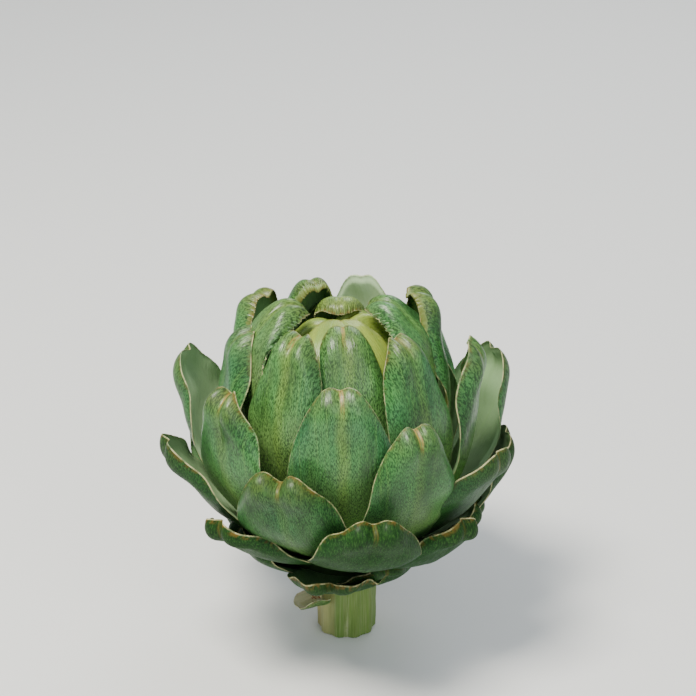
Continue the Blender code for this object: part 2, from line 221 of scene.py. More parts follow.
# Departures: turn round the axis, out from it, up, opening of the tip, longer reach of the curve
# at the tip, sideways tilt, extra half width, and bluntness of the tip
DEPARTURES = {
    1: {"up": -3.0, "open": -10.0},
    4: {"out": 2.0, "up": 3.0},
    6: {"turn": 2.0, "out": -8.0, "up": -22.0, "open": -38.0, "blunt": 0.2},
    8: {"out": -14.0, "up": -10.0},
    9: {"turn": -2.0, "out": -1.5, "up": -4.5, "open": -28.0, "tilt": 5.0, "wide": -3.5},
    11: {"out": -2.0, "up": -10.0, "open": -36.0, "tilt": -8.0, "wide": -1.0},
    12: {"out": -1.5, "open": -22.0},
    14: {"turn": -4.0, "out": -1.2, "up": -2.0, "tilt": 4.0, "wide": -1.0, "blunt": 0.3},
    16: {"turn": 3.0, "out": 4.0, "up": -3.0, "open": -34.0},
    17: {"turn": -6.0, "out": 1.0, "up": -6.0, "open": -36.0},
    19: {"turn": 3.0, "out": -4.0, "up": -11.0, "tilt": -5.5, "blunt": 0.34},
    20: {"out": 4.0, "up": -4.0, "open": -20.0},
    21: {"out": 3.0, "up": -2.0, "open": -22.0},
    22: {"turn": -4.0, "up": -5.0, "tilt": 3.5, "wide": -3.0, "blunt": 0.12},
    24: {"turn": 5.0, "out": 1.0, "up": -5.0, "tilt": -6.0, "wide": -3.5},
    25: {"out": 2.0, "up": -2.0, "open": -22.0, "wide": -3.0},
    26: {"out": -6.0, "up": -8.0},
    27: {"up": -5.0, "wide": 0.8},
    28: {"up": -5.0},
    29: {"turn": 9.0, "out": -1.5, "wide": -1.5},
    30: {"turn": -6.0, "out": -2.0, "tilt": 1.0, "wide": -4.5},
    31: {"out": -5.0, "up": -7.0},
    32: {"turn": 2.0, "out": -3.0, "tilt": -2.0, "wide": -3.5, "blunt": 0.2},
    33: {"out": 8.0, "open": -26.0, "wide": -2.0, "blunt": 0.3},
    34: {"out": 14.4, "up": -5.0, "open": -28.0, "wide": -1.0, "blunt": 0.3},
    35: {"turn": -10.0, "out": -8.0, "up": -8.0, "open": 8.0, "wide": -4.0, "blunt": 0.2},
    36: {"out": 7.0, "up": -2.0, "open": -34.0, "wide": -1.0, "blunt": 0.1},
    37: {"turn": -4.0, "out": -6.0, "up": -1.0, "open": 44.0, "reach": 0.06, "tilt": -2.5, "wide": -5.0,
         "blunt": 0.3},
    38: {"turn": 3.0, "out": -6.0, "up": -0.8, "open": 38.0, "reach": 0.04, "tilt": 4.0, "wide": -5.5,
         "blunt": 0.3},
    39: {"out": 12.0, "up": -0.6, "open": -22.0, "wide": -1.5, "blunt": 0.3},
    40: {"out": -7.0, "up": -8.0, "open": 22.0, "reach": 0.1},
    41: {"out": -6.0, "up": -8.0, "open": 20.0, "reach": 0.1},
    42: {"out": -4.0, "up": -8.0, "open": 18.0, "reach": 0.1},
    43: {"out": -1.0, "up": -8.0, "open": 16.0, "reach": 0.1},
    44: {"out": -3.0, "up": -2.8, "open": 36.0, "wide": -4.0, "blunt": 0.3},
}
STANDARD = {"turn": 0.0, "out": 0.0, "up": 0.0, "open": 0.0, "reach": 0.0, "tilt": 0.0, "wide": 0.0,
            "blunt": 0.02}
SEED = 11
AZIMUTH_SPREAD = 1.6
TIP_SPREAD = 1.4
ROLL_SPREAD = 4.0
draws = np.random.default_rng(SEED).uniform(-1.0, 1.0, (BRACT_COUNT, 4))


def smoothstep(share):
    """0 to 1 with flat ends: three squares less two cubes of the clipped share."""
    share = np.clip(share, 0.0, 1.0)
    return share * share * (3.0 - 2.0 * share)


print("bracts:", BRACT_COUNT, "turns of the spiral:", round(BRACT_COUNT * GOLDEN_ANGLE / 360, 1))


# %% [markdown]
# ## What grows differently from bract to bract
#
# The tip of a bract is a small puffed hood in two lobes, one each side of a notch where its point
# has died back. The notch is deep on some and hardly there on others, and the papery margins of the
# bracts that arch over the crown are torn. These are stated per bract, over values that all share.

# %% Habits of single bracts
# Special values by number, then the value of all others. Depth of the notch, height of the lobes
# and depth of the tears in millimetres; roll of the hood in degrees; curl is where on the disc the
# hood starts. The rest are shares from 0 to 1 of a look. Pale lightens an inner face towards sage:
# partly its own paler colour, partly painted light, most on bract 36, lit through from behind.
HABITS = {
    "notch": ({19: 4.2, 14: 2.8, 6: 3.2, 22: 2.2, 27: 1.2, 39: 1.6, 33: 2.4, 34: 1.8, 36: 0.8, 35: 0.6,
               40: 0.0, 43: 0.0, 44: 0.4, 24: 2.2, 25: 2.4, 9: 1.6}, 1.6),
    "lobe": ({19: 2.8, 12: 0.8, 14: 2.2, 16: 1.3, 18: 1.0, 11: 2.4, 9: 2.2, 6: 2.0, 22: 2.0, 24: 2.2,
              39: 1.0, 33: 2.0, 36: 0.6, 35: 0.8, 40: 0.2, 43: 0.2, 44: 0.4}, 1.6),
    "hood": ({36: 6.0, 35: 22.0, 40: 8.0, 43: 8.0, 39: 140.0, 33: 124.0, 34: 110.0, 37: 50.0, 38: 50.0,
              44: 50.0, 24: 76.0, 25: 72.0, 27: 44.0, 14: 88.0, 19: 84.0, 11: 92.0, 9: 84.0, 22: 70.0,
              32: 60.0}, 64.0),
    "curl": ({39: 0.8, 33: 0.82, 34: 0.82}, 0.78),
    "torn": ({37: 2.8, 38: 3.0, 44: 1.9, 39: 2.0, 33: 1.2, 34: 1.0, 32: 0.35}, 0.3),
    "yellow": ({35: 0.22, 40: 0.95, 43: 0.95, 32: 0.22, 44: 0.6, 37: 0.3, 38: 0.15, 36: 0.1, 41: 0.8,
                42: 0.8}, 0.1),
    "pale": ({36: 1.0, 20: 0.3, 21: 0.5, 16: 0.3, 12: 0.4, 39: 0.0, 33: 0.0}, 0.05),
    "scar": ({27: 1.0, 32: 1.0, 22: 0.9, 35: 1.0, 24: 0.8, 19: 0.55, 14: 0.3, 6: 0.2, 9: 0.25, 11: 0.3,
              36: 0.0, 37: 0.3, 38: 0.2, 40: 0.0, 43: 0.0, 44: 0.0}, 0.4),
    "gold": ({27: 0.9, 32: 1.0, 35: 0.6, 24: 0.4, 22: 0.3, 19: 0.4, 37: 0.6, 30: 0.4}, 0.25),
    "rim": ({35: 0.15, 40: 0.1, 43: 0.1, 41: 0.1, 42: 0.1, 27: 0.6, 36: 0.5, 22: 0.6, 14: 0.6,
             19: 0.7}, 1.0),
    "tanned": ({44: 0.9, 39: 1.0, 33: 1.0, 34: 1.0, 30: 0.8, 24: 0.8, 19: 0.8, 11: 0.9, 9: 0.8, 6: 0.9,
                16: 0.6, 14: 0.7, 36: 0.5}, 0.5),
}


def habit(name, number):
    """The bract's own value of a habit, or the one that all share."""
    special, common = HABITS[name]
    return special.get(number, common)


def bract_rule(number):
    """Driving sizes of one bract, in millimetres and radians."""
    rule = {name: float(np.interp(number, KEY_NUMBERS, keys)) for name, keys in KEYS.items()}
    own = {**STANDARD, **DEPARTURES.get(number, {})}
    draw = draws[number]
    azimuth = FRONT_AZIMUTH + (number - FRONT_BRACT) * GOLDEN_ANGLE + own["turn"] + draw[0] * AZIMUTH_SPREAD
    tip = np.array((rule["tip_radius"] + own["out"], rule["tip_height"] + own["up"]))
    rule.update({
        "azimuth": math.radians(azimuth), "roll": math.radians(draw[1] * ROLL_SPREAD),
        "root": np.array((rule["root_radius"], rule["root_height"])), "tip": tip + draw[2:4] * TIP_SPREAD,
        "start": math.radians(rule["start"]), "end": math.radians(rule["end"] + own["open"]),
        "tip_handle": rule["handle"] + own["reach"], "half_width": rule["half_width"] + own["wide"],
        "tilt": own["tilt"], "blunt": own["blunt"], "root_width": 0.45, "tooth": 1.0, "wavy": 1.0, "flesh": 3.0,
    })
    for name in ("notch", "lobe", "hood", "curl", "torn"):
        rule[name] = habit(name, number)
    return rule


print("habits:", ", ".join(HABITS))


# %% [markdown]
# ## The surface of a bract
#
# A bract could be sculpted, or modelled as a box and subdivided. Here it is a formula, because 45
# of them must grow by one rule. Its midline is a cubic curve in an upright plane through the stem's
# axis. A square grid is laid on it: the lower third runs straight up to the shoulder, and the rest
# is bent on to a half disc, so the tip is round. The sheet is then bent across its midline, its rim
# rolls inwards into a hood, two puffs rise beside the notch, and the flesh thins out to a papery
# margin. The inner face is the same sheet, deeper by the flesh.

# %% Formula of a bract
# Shares of the bract's length, of its grid and of its disc
SHOULDER = 0.5
SHOULDER_ROW = 1.0 / 3.0
LENGTH_PER_CHORD = 1.12
LIP_START = 0.55
LIP_SHARE = 0.35
EDGE_SHARE = 0.4
# Millimetres: how far the skin lies inside the CAD's, the papery margin, and its taper
SKIN_DEPTH = 1.05
MARGIN_THICKNESS = 0.28
MARGIN_TAPER = 3.5
# Features beside the notch, as places and widths across and up the disc
FORK_WIDTH = 0.1
HUMP_SIDE, HUMP_WIDTH = 0.3, 0.2
PUFF_SIDE, PUFF_WIDTH, PUFF_UP, PUFF_TALL = 0.34, 0.24, 0.86, 0.16
HOLLOW_UP, HOLLOW_TALL, HOLLOW_WIDTH = 0.62, 0.14, 0.55
LINE_WIDTH = 0.09
TEARS = 240


def midline(rule, along):
    """Place and direction on a bract's middle: a cubic Bezier curve from its root to its tip."""
    root, tip = rule["root"], rule["tip"]
    chord = np.linalg.norm(tip - root)
    leave = root + chord * rule["handle"] * np.array((math.cos(rule["start"]), math.sin(rule["start"])))
    arrive = tip - chord * rule["tip_handle"] * np.array((math.cos(rule["end"]), math.sin(rule["end"])))
    s = along[..., None]
    place = (1 - s) ** 3 * root + 3 * s * (1 - s) ** 2 * leave + 3 * s * s * (1 - s) * arrive + s ** 3 * tip
    way = 3 * (1 - s) ** 2 * (leave - root) + 6 * s * (1 - s) * (arrive - leave) + 3 * s * s * (tip - arrive)
    return place, way / np.linalg.norm(way, axis=-1, keepdims=True)


def ripples(rng, x, y, count, shortest, longest):
    """Smooth random waves, about 1 high: a sum of sines of random direction, length and phase."""
    total = np.zeros_like(x)
    for _ in range(count):
        turn, phase = rng.uniform(0.0, 2 * math.pi, 2)
        length = rng.uniform(shortest, longest)
        total += np.sin((x * math.cos(turn) + y * math.sin(turn)) * 2 * math.pi / length + phase)
    return total / math.sqrt(count)


def torn_line(rng, path, tooth):
    """Depth of the tears along the margin, 0 to 1: straight runs between random notches and points."""
    steps = np.cumsum(rng.uniform(0.5, 1.5, TEARS)) * tooth
    places = steps - steps[TEARS // 2]
    depths = np.where(np.arange(TEARS) % 2 == 0, rng.uniform(0.0, 0.25, TEARS), rng.uniform(0.2, 1.0, TEARS))
    return np.interp(path, places, depths)


def bract_sheet(rule, across, up, rng):
    """Outer and inner face of a bract, as radius, sideways place and height, and what lies where.

    A disc point (x, y) comes from the grid: x = across * sqrt(1 - cap^2/2), y = cap * sqrt(1 - across^2/2).
    Along the midline it is at shoulder + (1 - shoulder) * y, and sideways at x * half width.
    Inwards it is bent by a circle of the cross radius, and sinks by the lip and the hood's roll.
    """
    cap = np.clip((up - SHOULDER_ROW) / (1.0 - SHOULDER_ROW), 0.0, 1.0)
    low = np.clip(up / SHOULDER_ROW, 0.0, 1.0)
    x = across * np.sqrt(1.0 - cap * cap / 2.0)
    y = cap * np.sqrt(1.0 - across * across / 2.0)
    rim = np.hypot(x, y)
    length = np.linalg.norm(rule["tip"] - rule["root"]) * LENGTH_PER_CHORD
    cap_length = (1.0 - SHOULDER) * length
    along = np.where(up < SHOULDER_ROW, low * SHOULDER, SHOULDER + (1.0 - SHOULDER) * y)
    side = x * (1.0 + rule["blunt"] * y ** 2) * rule["half_width"]
    side = side * (rule["root_width"] + (1.0 - rule["root_width"]) * smoothstep(low))

    # Distance from the margin, and place along it, in millimetres
    to_centre = np.hypot(x * rule["half_width"], y * cap_length) / np.maximum(rim, 1e-6)
    margin = np.where(up < SHOULDER_ROW, (1.0 - np.abs(across)) * rule["half_width"], (1.0 - rim) * to_centre)
    path = np.arctan2(x, y) * 0.5 * (rule["half_width"] + cap_length)

    # Notch and lobes in the outline, then the tears
    fork = np.exp(-(x / FORK_WIDTH) ** 2) * smoothstep((y - 0.72) / 0.28)
    humps = np.exp(-((np.abs(x) - HUMP_SIDE) / HUMP_WIDTH) ** 2) * smoothstep((y - 0.7) / 0.3)
    grown = rule["lobe"] * 0.7 * humps - rule["notch"] * fork
    edge = smoothstep((rim - 0.9) / 0.1) * smoothstep((y - 0.1) / 0.3)
    tear = rule["torn"] * torn_line(rng, path, rule["tooth"]) * edge
    wave = ripples(rng, path, 0 * path, 4, 9.0, 26.0) * smoothstep((rim - 0.7) / 0.3) * smoothstep(up / 0.4)
    along = along + (grown - tear * y) / length
    side = side - tear * x

    # Where each point lies, before the hood rolls, so that the grain rolls with the skin
    lies = {"side": side, "from_tip": (1.0 - along) * length, "margin": margin}

    # Hood: the last part of the disc rolls round an arc towards the inner face
    roll_length = (1.0 - rule["curl"]) * cap_length
    share = np.clip((rim - rule["curl"]) / (1.0 - rule["curl"]), 0.0, 1.0) * smoothstep((y - 0.15) / 0.6)
    hood = max(math.radians(rule["hood"]), 1e-3)
    turned = hood * share
    sink = roll_length * (1.0 - np.cos(turned)) / hood
    short = roll_length * (share - np.sin(turned) / hood)
    spare = roll_length * (1.0 - math.sin(hood) / hood)
    along = along + (spare * y ** 3 - short * y) / length
    side = side - short * x * 0.6

    # Bulges outwards: two puffs, the groove between them, the hollow under them, slow waves
    puffs = np.exp(-((np.abs(x) - PUFF_SIDE) / PUFF_WIDTH) ** 2 - ((y - PUFF_UP) / PUFF_TALL) ** 2)
    groove = np.exp(-(x / LINE_WIDTH) ** 2) * smoothstep((y - 0.35) / 0.5)
    hollow = np.exp(-((y - HOLLOW_UP) / HOLLOW_TALL) ** 2 - (x / HOLLOW_WIDTH) ** 2)
    keel = np.exp(-(x / LINE_WIDTH) ** 2) * (1.0 - smoothstep(y / 0.5)) * smoothstep(low)
    calm = 1.0 - smoothstep((rim - 0.85) / 0.15)
    out = rule["lobe"] * puffs - 0.55 * rule["lobe"] * groove - 0.6 * rule["lobe"] * hollow
    out = out + 0.35 * keel + 0.28 * ripples(rng, side, along * length, 6, 14.0, 40.0) * calm
    out = out + 0.35 * wave * rule["wavy"]

    place, way = midline(rule, along)
    outward = np.stack((way[..., 1], -way[..., 0]), axis=-1)
    lip = LIP_SHARE * rule["lip"] * np.clip((rim - LIP_START) / (1.0 - LIP_START), 0.0, 1.0) ** 2 * y
    bend = side / rule["cross_radius"]
    sideways = rule["cross_radius"] * np.sin(bend) + rule["tilt"] * along ** 2
    inward = rule["cross_radius"] * (1.0 - np.cos(bend)) + lip + sink - out + SKIN_DEPTH * smoothstep(up / 0.3)
    inward = inward + rule["cross_radius"] * np.sin(bend) * math.sin(rule["roll"])

    share = np.clip(1.0 - 0.75 * along - 0.25 * np.abs(across), 0.0, 1.0)
    flesh = rule["flesh"] * (EDGE_SHARE + (1.0 - EDGE_SHARE) * share)
    flesh = MARGIN_THICKNESS + (flesh - MARGIN_THICKNESS) * smoothstep(margin / MARGIN_TAPER)
    faces = [place - outward * (inward + deeper)[..., None] for deeper in (0.0, flesh)]
    return faces, sideways, lies


def sheet_grid(columns, rows):
    """Grid values across (-1 to 1) and up (0 to 1), closer together towards the rim, as sines."""
    across = np.sin(np.linspace(-1.0, 1.0, columns) * 1.35) / math.sin(1.35)
    up = np.sin(np.linspace(0.0, 1.0, rows) * 1.3) / math.sin(1.3)
    return np.meshgrid(across, up)


def closed_faces(rows, columns):
    """List of faces of a closed blade: outer grid, inner grid turned round, and the strip between."""
    outer = grid_faces(rows, columns)
    count = rows * columns
    inner = outer[:, ::-1] + count
    index = np.arange(count).reshape(rows, columns)
    loop = np.concatenate((index[0, :-1], index[:-1, -1], index[-1, :0:-1], index[:0:-1, 0]))
    after = np.roll(loop, -1)
    strip = np.stack((after, loop, loop + count, after + count), axis=1)
    return np.concatenate((outer, inner, strip)).tolist()


def turned_to(azimuth, radius, sideways, height):
    """World places of points beside an upright plane that faces the azimuth, from -Y towards +X."""
    x = radius * math.sin(azimuth) + sideways * math.cos(azimuth)
    y = -radius * math.cos(azimuth) + sideways * math.sin(azimuth)
    return np.stack((x, y, height), axis=-1)


def note(mesh, name, values):
    """Store a vector for each point of the mesh, for the materials to read."""
    layer = mesh.attributes.new(name, "FLOAT_VECTOR", "POINT")
    layer.data.foreach_set("vector", values.astype(np.float32).ravel())


def blade_notes(mesh, lies, tone, looks):
    """Notes of a blade: where each point lies on it, its inner face (1) and outer one (0), its looks."""
    spot = np.stack((lies["side"], lies["from_tip"], lies["margin"]), axis=-1).reshape(-1, 3)
    count = len(spot)
    note(mesh, "spot", np.concatenate((spot, spot)))
    face = np.tile((0.0, tone, looks["dark"]), (count * 2, 1))
    face[count:, 0] = 1.0
    note(mesh, "face", face)
    note(mesh, "tinge", np.tile([looks[key] for key in ("yellow", "pale", "gold")], (count * 2, 1)))
    note(mesh, "wear", np.tile([looks[key] for key in ("scar", "rim", "tanned")], (count * 2, 1)))


print("bract formula ready")


# %% [markdown]
# ## Bract skin
#
# The real skin is a thick living cuticle with a dull wax bloom. It is mid green, marked with fine
# dark streaks about 0.5 mm wide that run lengthwise, yellower along the midrib and at the tip, with
# an orange-brown scar below the notch and a dry cream margin. The inner face is smoother and
# greyer. The low bracts are painted darker, as painted shade, and the feet and inner faces of the
# bracts are painted lighter, partly their own paler colour and partly painted light. The streaks
# follow each bract, so the pattern reads the bract's own notes: millimetres sideways, millimetres
# from the tip, and millimetres from the margin.

# %% Grain, shares and coats of the skin
# Noises: width and height of a grain in millimetres on the bract, and detail. A streak comes out
# about 0.5 mm wide, a little coarser than the real ones, so that it shows.
GRAINS = {
    "clouds": (9.0, 22.0, 1.0), "cool": (14.0, 30.0, 1.0), "wash": (7.0, 40.0, 2.0),
    "lines": (1.3, 45.0, 2.0), "bands": (6.0, 60.0, 2.0), "wander": (8.0, 12.0, 2.0),
    "tipping": (3.0, 6.0, 3.0), "streaks": (0.25, 1.2, 1.0), "flecks": (0.3, 1.0, 1.0),
    "patches": (6.0, 10.0, 2.0), "scarring": (1.0, 5.0, 2.0), "singeing": (1.6, 1.6, 3.0),
    "gloss": (1.2, 4.0, 3.0), "weave": (0.8, 2.4, 2.0), "fibres": (0.7, 16.0, 2.0),
}
# Smooth steps: of which noise, note or distance in millimetres, between which two values, and the
# share at each of them
SHARES = {
    "clouds": ("clouds", 0.3, 0.62, 0.25, 1.0),
    "cool": ("cool", 0.4, 0.75, 0.1, 0.55),
    "low": ("from_tip", 26.0, 54.0, 0.0, 1.0),
    "wash": ("wash", 0.3, 0.6, 0.5, 1.0),
    "pale": ("pale", 0.0, 1.0, 0.0, 1.0),
    "lines": ("lines", 0.52, 0.72, 0.0, 0.3),
    "yellow": ("yellow", 0.0, 1.0, 0.0, 1.0),
    "bands": ("bands", 0.3, 0.62, 0.55, 1.0),
    "rib": ("off_rib", 3.6, 0.4, 0.0, 1.0),
    "rib_reach": ("from_tip", 90.0, 20.0, 0.3, 0.5),
    "gold": ("gold", 0.0, 1.0, 0.3, 1.0),
    "tip": ("from_tip", 15.0, 1.0, 0.0, 1.0),
    "tipping": ("tipping", 0.3, 0.65, 0.5, 1.0),
    "streaks": ("streaks", 0.48, 0.54, 0.0, 0.74),
    "flecks": ("flecks", 0.5, 0.62, 0.0, 0.12),
    "patches": ("patches", 0.3, 0.6, 0.75, 1.0),
    "plain": ("yellow", 0.5, 0.9, 1.0, 0.2),
    "outer": ("inner", 0.0, 1.0, 1.0, 0.2),
    "inner": ("inner", 0.0, 1.0, 0.0, 0.75),
    "inside": ("inner", 0.0, 1.0, 0.0, 1.0),
    "outer_only": ("inner", 0.0, 0.5, 1.0, 0.0),
    "scar": ("off_rib", 1.2, 0.25, 0.0, 1.0),
    "scar_gap": ("off_rib", 0.05, 0.4, 0.35, 1.0),
    "scar_reach": ("from_tip", 13.0, 4.0, 0.0, 1.0),
    "scarring": ("scarring", 0.3, 0.6, 0.35, 0.9),
    "scar_own": ("scar_own", 0.0, 1.0, 0.0, 1.0),
    "edge": ("margin", 1.7, 0.4, 0.0, 1.0),
    "edge_reach": ("from_tip", 24.0, 4.0, 0.0, 1.0),
    "tanned": ("tanned", 0.0, 1.0, 0.0, 1.0),
    "rim_own": ("rim_own", 0.0, 1.0, 0.0, 1.0),
    "singeing": ("singeing", 0.42, 0.62, 0.0, 0.75),
    # dark: how far a low bract is painted darker, as painted shade
    "dark": ("dark", 0.0, 1.0, 0.0, 0.95),
    "dark_inside": ("dark", 0.0, 1.0, 0.0, 0.5),
    "base_inside": ("from_tip", 28.0, 60.0, 0.0, 0.5),
    "band": ("margin", 6.0, 2.0, 0.0, 0.92),
    "well_tanned": ("tanned", 0.9, 1.0, 0.0, 1.0),
    "rust": ("from_tip", 8.5, 12.0, 0.0, 1.0),
    "rusting": ("singeing", 0.52, 0.58, 0.0, 0.9),
    "margin": ("margin", 0.34, 0.08, 0.0, 0.85),
    "frayed": ("tipping", 0.38, 0.6, 0.12, 1.0),
}
# Coats, one over the other: the tint, and the shares whose product says how much of it covers
COATS = (
    # The coat over the low and wash shares: the paler foot of each bract, partly its own colour, partly painted
    # light where the bracts in front shade it
    ("mid", ("clouds",)), ("cool", ("cool",)), ("foot_and_painted_light", ("low", "wash")), ("line", ("lines",)),
    ("yellow", ("yellow", "bands")), ("rib", ("rib", "rib_reach", "gold")),
    ("tip", ("tip", "tipping", "tanned")),
    # The deep coat over the dark share: painted shade on the low bracts
    ("deep", ("dark",)), ("line", ("flecks", "outer")), ("streak", ("streaks", "patches", "outer", "plain")),
    # The inner and sage coats lighten the inner faces: partly their own paler colour, partly painted light, most on
    # bract 36, lit through from behind
    ("inner", ("inner",)), ("line", ("lines", "inside")), ("sage_and_light", ("base_inside", "inside")),
    # The deep coat over the dark inside share: painted shade on the inner faces of the low bracts
    ("deep", ("dark_inside", "inside")), ("tip", ("band", "inside", "well_tanned")), ("sage_and_light", ("pale", "inside")),
    ("scar", ("scar", "scar_gap", "scar_reach", "scarring", "scar_own", "outer_only")),
    ("singe", ("edge", "edge_reach", "singeing", "tanned")), ("dry", ("margin", "frayed", "rim_own")),
)
print("coats of the skin:", len(COATS))

# %% Skin material
# Notes stored on a blade, each a vector of three values
NOTES = {
    "spot": ("side", "from_tip", "margin"), "face": ("inner", "tone", "dark"),
    "tinge": ("yellow", "pale", "gold"), "wear": ("scar_own", "rim_own", "tanned"),
}
# Steps through the noise from bract to bract and from one grain to the next
TONE_STEP = 31.0
GRAIN_STEP = 3.0
RIB_WANDER = 3.5


def skin(name, tints, coats, **uniform):
    """Bract skin in the given tints, from the notes stored on a blade."""
    material, tree, shader = finish(name, **uniform)
    value = {}
    for key, names in NOTES.items():
        noted = add(tree, "Attribute", attribute_name=key).outputs["Vector"]
        value.update(zip(names, add(tree, "SeparateXYZ", {0: noted}).outputs))
    place = add(tree, "CombineXYZ", {0: value["side"], 1: value["from_tip"], 2: value["tone"]}).outputs[0]
    for number, (key, (wide, tall, detail)) in enumerate(GRAINS.items()):
        finer = (1.0 / wide, 1.0 / tall, TONE_STEP)
        scaled = add(tree, "VectorMath", {0: place, 1: finer, 2: (GRAIN_STEP * number, 0.0, 0.0)},
                     operation="MULTIPLY_ADD").outputs[0]
        noise = add(tree, "TexNoise", {"Vector": scaled, "Scale": 1.0, "Detail": detail, "Roughness": 0.55})
        value[key] = noise.outputs["Fac"]

    # Distance from the middle line of the bract, which wanders by up to 1.75 mm
    middle = add(tree, "Math", {0: value["wander"], 1: RIB_WANDER, 2: value["side"]},
                 operation="MULTIPLY_ADD").outputs[0]
    centred = add(tree, "Math", {0: middle, 1: RIB_WANDER / 2}, operation="SUBTRACT").outputs[0]
    value["off_rib"] = add(tree, "Math", {0: centred}, operation="ABSOLUTE").outputs[0]

    wanted = {factor for _, factors in coats for factor in factors}
    share = {}
    for key in sorted(wanted):
        what, start, end, low, high = SHARES[key]
        share[key] = add(tree, "MapRange", {"Value": value[what], "From Min": start, "From Max": end, "To Min": low,
                                            "To Max": high}, interpolation_type="SMOOTHSTEP").outputs["Result"]
    base = colour(tints["deep"])
    for tint, factors in coats:
        cover = share[factors[0]]
        for factor in factors[1:]:
            cover = add(tree, "Math", {0: cover, 1: share[factor]}, operation="MULTIPLY").outputs[0]
        base = add(tree, "Mix", {0: cover, 6: base, 7: colour(tints[tint])}, data_type="RGBA").outputs[2]
    tree.links.new(base, shader.inputs["Base Color"])

    # Wax bloom: satin on the young bracts, duller on inner faces and on the old low bracts
    gloss = add(tree, "Math", {0: value["gloss"], 1: 0.5, 2: 0.08}, operation="MULTIPLY_ADD").outputs[0]
    for key, duller in (("inner", 0.12), ("dark", 0.22)):
        gloss = add(tree, "Math", {0: value[key], 1: duller, 2: gloss}, operation="MULTIPLY_ADD").outputs[0]
    tree.links.new(gloss, shader.inputs["Roughness"])
    shine = add(tree, "Math", {0: value["dark"], 1: -0.36, 2: 0.5}, operation="MULTIPLY_ADD").outputs[0]
    tree.links.new(shine, shader.inputs["Specular IOR Level"])
    # Relief: the fibres under the skin and its fine weave
    grain = add(tree, "Math", {0: value["fibres"], 1: 1.5, 2: value["weave"]}, operation="MULTIPLY_ADD").outputs[0]
    bump = add(tree, "Bump", {"Height": grain, "Strength": 0.45, "Distance": 0.35 * MM})
    tree.links.new(bump.outputs["Normal"], shader.inputs["Normal"])
    return material


BRACT_TINTS = {
    "deep": "#153c12", "mid": "#478742", "cool": "#3f7f5a", "foot_and_painted_light": "#7aa25a", "line": "#6fa652",
    "yellow": "#9cae48", "rib": "#7f9f42", "tip": "#6f7a34", "streak": "#0b240b", "inner": "#82ab72",
    "sage_and_light": "#cfeaba", "scar": "#a3803a", "singe": "#70531f", "dry": "#c2bd8a",
}
bract_skin = skin("living bract cuticle with a dull wax bloom", BRACT_TINTS, COATS, IOR=1.45,
                  Coat_Weight=0.06, Coat_Roughness=0.22)
print("skin nodes:", len(bract_skin.node_tree.nodes))


# %% [markdown]
# ## Growing the bracts
#
# Every bract is now worked out and set in its place on the head, which leans a little to the left.
# The bracts with torn margins get more columns, so that each tooth is real geometry.

# %% Make the bracts
COLUMNS = 56
ROWS = 50
TORN_COLUMNS = 130
TORN_FROM = 0.6
# The low bracts are painted darker, as painted shade: how dark, at five numbers
SHADE_NUMBERS = (0, 14, 19, 24, 44)
SHADE_SHARES = (1.0, 1.0, 0.55, 0.2, 0.0)


def head_places(azimuth, face, sideways):
    """World places in metres of a face given in the bract's plane, with the head's lean."""
    places = turned_to(azimuth, face[..., 0], sideways, face[..., 1])
    places[..., 0] += LEAN * places[..., 2]
    places[..., 2] += HEAD_BASE
    return places * MM


def make_bract(number):
    """One bract as a closed blade of its own."""
    rule = bract_rule(number)
    rng = np.random.default_rng(1000 + number)
    columns = TORN_COLUMNS if rule["torn"] > TORN_FROM else COLUMNS
    across, up = sheet_grid(columns, ROWS)
    faces, sideways, lies = bract_sheet(rule, across, up, rng)
    points = np.concatenate([head_places(rule["azimuth"], face, sideways).reshape(-1, 3) for face in faces])
    piece = mesh_object(f"bract_{number:02d}", points, closed_faces(ROWS, columns), bract_skin)
    looks = {name: habit(name, number) for name in ("yellow", "pale", "gold", "scar", "rim", "tanned")}
    looks["dark"] = float(np.interp(number, SHADE_NUMBERS, SHADE_SHARES))
    blade_notes(piece.data, lies, number / BRACT_COUNT * 7.0, looks)
    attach(piece, "root")
    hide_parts("head")
    return piece


bracts = [make_bract(number) for number in range(BRACT_COUNT)]
print("bract faces:", sum(len(piece.data.polygons) for piece in bracts))


# %% [markdown]
# ## Receptacle
#
# Under the bracts is the part that is eaten last: the receptacle with its unopened florets. It only
# shows between bracts, as a floor painted dark green as shade there, but it is what they all grow
# from. It is a profile turned about the stem's axis.

# %% Make the receptacle
def turned_faces(rings, sides):
    """Faces of a turned surface: rings of points joined round, each ring's last point to its first."""
    ring = np.arange(rings - 1)[:, None] * sides
    here = np.arange(sides)[None, :]
    after = (here + 1) % sides
    return np.stack((ring + here, ring + after, ring + sides + after, ring + sides + here), axis=-1).reshape(-1, 4)


CORE_PROFILE = np.array(((0.0, 0.0), (13.0, 0.0), (23.0, 4.0), (32.0, 15.0), (36.0, 30.0), (36.0, 45.0),
                         (32.5, 60.0), (27.0, 74.0), (20.0, 86.0), (12.5, 95.0), (6.0, 100.5), (0.0, 103.0)))
POLE = 0.02
CORE_SIDES = 64
CORE_RINGS = 48


def resampled(profile, count):
    """The profile at evenly spaced places along its length."""
    steps = np.concatenate(((0.0,), np.cumsum(np.linalg.norm(np.diff(profile, axis=0), axis=1))))
    wanted = np.linspace(0.0, steps[-1], count)
    return np.stack([np.interp(wanted, steps, profile[:, i]) for i in (0, 1)], axis=1)


def capped(rings, sides):
    """List of faces of a turned surface whose first and last rings are closed by one face each."""
    faces = turned_faces(rings, sides).tolist()
    faces.append(list(range(sides))[::-1])
    faces.append(list(range((rings - 1) * sides, rings * sides)))
    return faces
